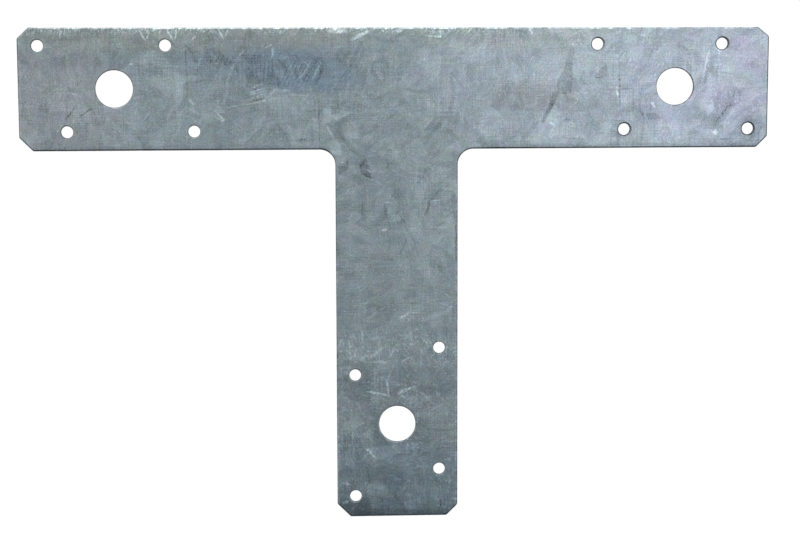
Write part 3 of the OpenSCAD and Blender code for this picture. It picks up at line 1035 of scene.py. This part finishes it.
class OBJECT_OT_t_plate_blank(bpy.types.Operator):
    """Build the punched plate, with its zinc and its cut edges"""

    bl_idname = "object.t_plate_blank"
    bl_label = "Build T Plate"

    def execute(self, context):
        points, rim_painted_lights, in_hole, faces, steel = plate_mesh(context.scene.t_plate_sizes)
        mesh = bpy.data.meshes.new("galvanised_plate")
        mesh.from_pydata(points.tolist(), [], faces)
        mesh.polygons.foreach_set("material_index", steel.astype(np.int32))
        mesh.polygons.foreach_set("use_smooth", np.ones(len(faces), bool))
        # Keeps the rims' painted shade and highlight, and the hole flag, on the points
        for name, values in (("rim_painted_light", rim_painted_lights), ("in_hole", in_hole.astype(float))):
            mesh.attributes.new(name, "FLOAT", "POINT").data.foreach_set("value", values)
        mesh.set_sharp_from_angle(angle=math.radians(40))
        mesh.materials.append(zinc_material(context.scene.t_plate_finish))
        mesh.materials.append(edge_material(context.scene.t_plate_finish))
        mesh.update()
        plate = bpy.data.objects.new("galvanised_plate", mesh)
        context.scene.collection.objects.link(plate)
        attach(plate, "root")
        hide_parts("t_plate")
        return {"FINISHED"}


def floor_mesh(radius):
    """A flat disc: rings of a growing radius about the origin, a hair under the plate's back face."""
    rings = radius * np.linspace(0.02, 1.0, 12) ** 2
    spokes = 64
    angle = 2 * np.pi * np.arange(spokes) / spokes
    ring, turn = np.meshgrid(rings, angle, indexing="ij")
    hair = 0.02 * MM
    sheet = np.stack([ring * np.cos(turn), ring * np.sin(turn), np.full_like(ring, -hair)], axis=2)
    index = np.arange(ring.size).reshape(ring.shape)
    after = np.roll(index, -1, axis=1)
    quads = np.stack([index[:-1], index[1:], after[1:], after[:-1]], axis=2).reshape(-1, 4)
    return sheet.reshape(-1, 3), quads.tolist() + [index[0].tolist()]


def floor_material(stage):
    """Matt white paper. What the camera and the metal see of it is mostly plain white, and the rest is lit,
    so that it keeps the plate's shadow."""
    material, tree = new_material("white_paper")
    rays = add(tree, "ShaderNodeLightPath", {})
    seen = rays.outputs["Is Camera Ray"]
    for kind in ("Is Glossy Ray", "Is Transmission Ray"):
        seen = add(tree, "ShaderNodeMath", {0: seen, 1: rays.outputs[kind]}, operation="MAXIMUM")
    share = add(tree, "ShaderNodeMath", {0: seen, 1: stage.white_share}, operation="MULTIPLY")
    lit = add(tree, "ShaderNodeBsdfDiffuse", {"Color": (*stage.floor, 1.0)})
    white = add(tree, "ShaderNodeEmission", {"Color": (1.0, 1.0, 1.0, 1.0), "Strength": stage.white_level})
    mixed = add(tree, "ShaderNodeMixShader", {0: share, 1: lit, 2: white})
    add(tree, "ShaderNodeOutputMaterial", {"Surface": mixed})
    return material


# Panels of the studio: the way to the middle of each, the cosines of the angles from there at which it
# starts and is full, and the level of light before it starts and where it is full
CEILING = ((-0.565, 0.306, 0.766), 0.534, 0.949, 0.3, 1.35)
FRONT_CARD = ((0.05, -0.575, 0.817), 0.839, 0.955, 1.0, 0.1)


def studio_world(scene):
    """A studio with a bright ceiling that leans to the back left, over dim walls, and a dark card hung at
    the front, which the foot of the leg and the front edges mirror. The levels of the two are multiplied."""
    world = bpy.data.worlds.new("studio")
    scene.world = world
    world.use_nodes = True
    tree = world.node_tree
    tree.nodes.clear()
    coords = add(tree, "ShaderNodeTexCoord", {})
    level = 1.0
    for way, start, full, outside, inside in (CEILING, FRONT_CARD):
        facing = add(tree, "ShaderNodeVectorMath", {0: coords.outputs["Generated"], 1: way},
                     operation="DOT_PRODUCT")
        panel = add(tree, "ShaderNodeMapRange", {"Value": facing.outputs["Value"], "From Min": start,
                                                 "From Max": full, "To Min": outside, "To Max": inside},
                    **EASED)
        level = add(tree, "ShaderNodeMath", {0: level, 1: panel}, operation="MULTIPLY")
    light = add(tree, "ShaderNodeBackground", {"Color": (1.0, 1.0, 1.0, 1.0), "Strength": level})
    add(tree, "ShaderNodeOutputWorld", {"Surface": light})


def softbox(scene, name, place, target, size, radiance):
    """A rectangular lamp that faces a target, as bright to look at as the given radiance."""
    lamp = bpy.data.lights.new(name, "AREA")
    lamp.shape = "RECTANGLE"
    lamp.size, lamp.size_y = size
    lamp.energy = math.pi * size[0] * size[1] * radiance
    holder = bpy.data.objects.new(name, lamp)
    holder.location = place
    holder.rotation_euler = (Vector(place) - Vector(target)).to_track_quat("Z", "Y").to_euler()
    scene.collection.objects.link(holder)


class SCENE_OT_t_plate_stage(bpy.types.Operator):
    """Build the floor, the light and the camera"""

    bl_idname = "scene.t_plate_stage"
    bl_label = "Build Stage"

    def execute(self, context):
        scene = context.scene
        stage = scene.t_plate_stage
        points, faces = floor_mesh(stage.floor_radius)
        mesh = bpy.data.meshes.new("floor")
        mesh.from_pydata(points.tolist(), [], faces)
        mesh.materials.append(floor_material(stage))
        floor = bpy.data.objects.new("floor", mesh)
        scene.collection.objects.link(floor)

        studio_world(scene)
        softbox(scene, "key_softbox", place=(0.85, 0.1, 1.1), target=(0.85, 0.1, 0.0), size=(1.3, 1.2),
                radiance=stage.key_level)
        softbox(scene, "back_softbox", place=(0.0, 0.8, 0.55), target=(0.0, 0.0, 0.0), size=(1.8, 0.8),
                radiance=stage.back_level)

        lens = bpy.data.cameras.new("camera")
        lens.sensor_width = 36.0
        lens.lens = stage.lens
        camera = bpy.data.objects.new("camera", lens)
        camera.location = stage.camera_place
        camera.rotation_euler = stage.camera_turn
        scene.collection.objects.link(camera)
        scene.camera = camera
        scene.view_settings.view_transform = "Standard"
        return {"FINISHED"}


class VIEW3D_PT_t_plate(bpy.types.Panel):
    """Sizes, finish and stage of the T plate"""

    bl_idname = "VIEW3D_PT_t_plate"
    bl_label = "T Plate"
    bl_space_type = "VIEW_3D"
    bl_region_type = "UI"
    bl_category = "T Plate"

    def draw(self, context):
        scene = context.scene
        for group in (scene.t_plate_sizes, scene.t_plate_finish, scene.t_plate_stage):
            box = self.layout.box()
            for name in group.__annotations__:
                box.prop(group, name)
        self.layout.operator(OBJECT_OT_t_plate_blank.bl_idname)
        self.layout.operator(SCENE_OT_t_plate_stage.bl_idname)


CLASSES = (TPlateSizes, TPlateFinish, TPlateStage, OBJECT_OT_t_plate_blank, SCENE_OT_t_plate_stage,
           VIEW3D_PT_t_plate)


def register():
    for kind in CLASSES:
        bpy.utils.register_class(kind)
    bpy.types.Scene.t_plate_sizes = bpy.props.PointerProperty(type=TPlateSizes)
    bpy.types.Scene.t_plate_finish = bpy.props.PointerProperty(type=TPlateFinish)
    bpy.types.Scene.t_plate_stage = bpy.props.PointerProperty(type=TPlateStage)


def unregister():
    del bpy.types.Scene.t_plate_stage
    del bpy.types.Scene.t_plate_finish
    del bpy.types.Scene.t_plate_sizes
    for kind in reversed(CLASSES):
        bpy.utils.unregister_class(kind)


def main():
    """Build the plate and its stage."""
    register()
    bpy.ops.object.t_plate_blank()
    bpy.ops.scene.t_plate_stage()


if __name__ == "__main__":
    main()
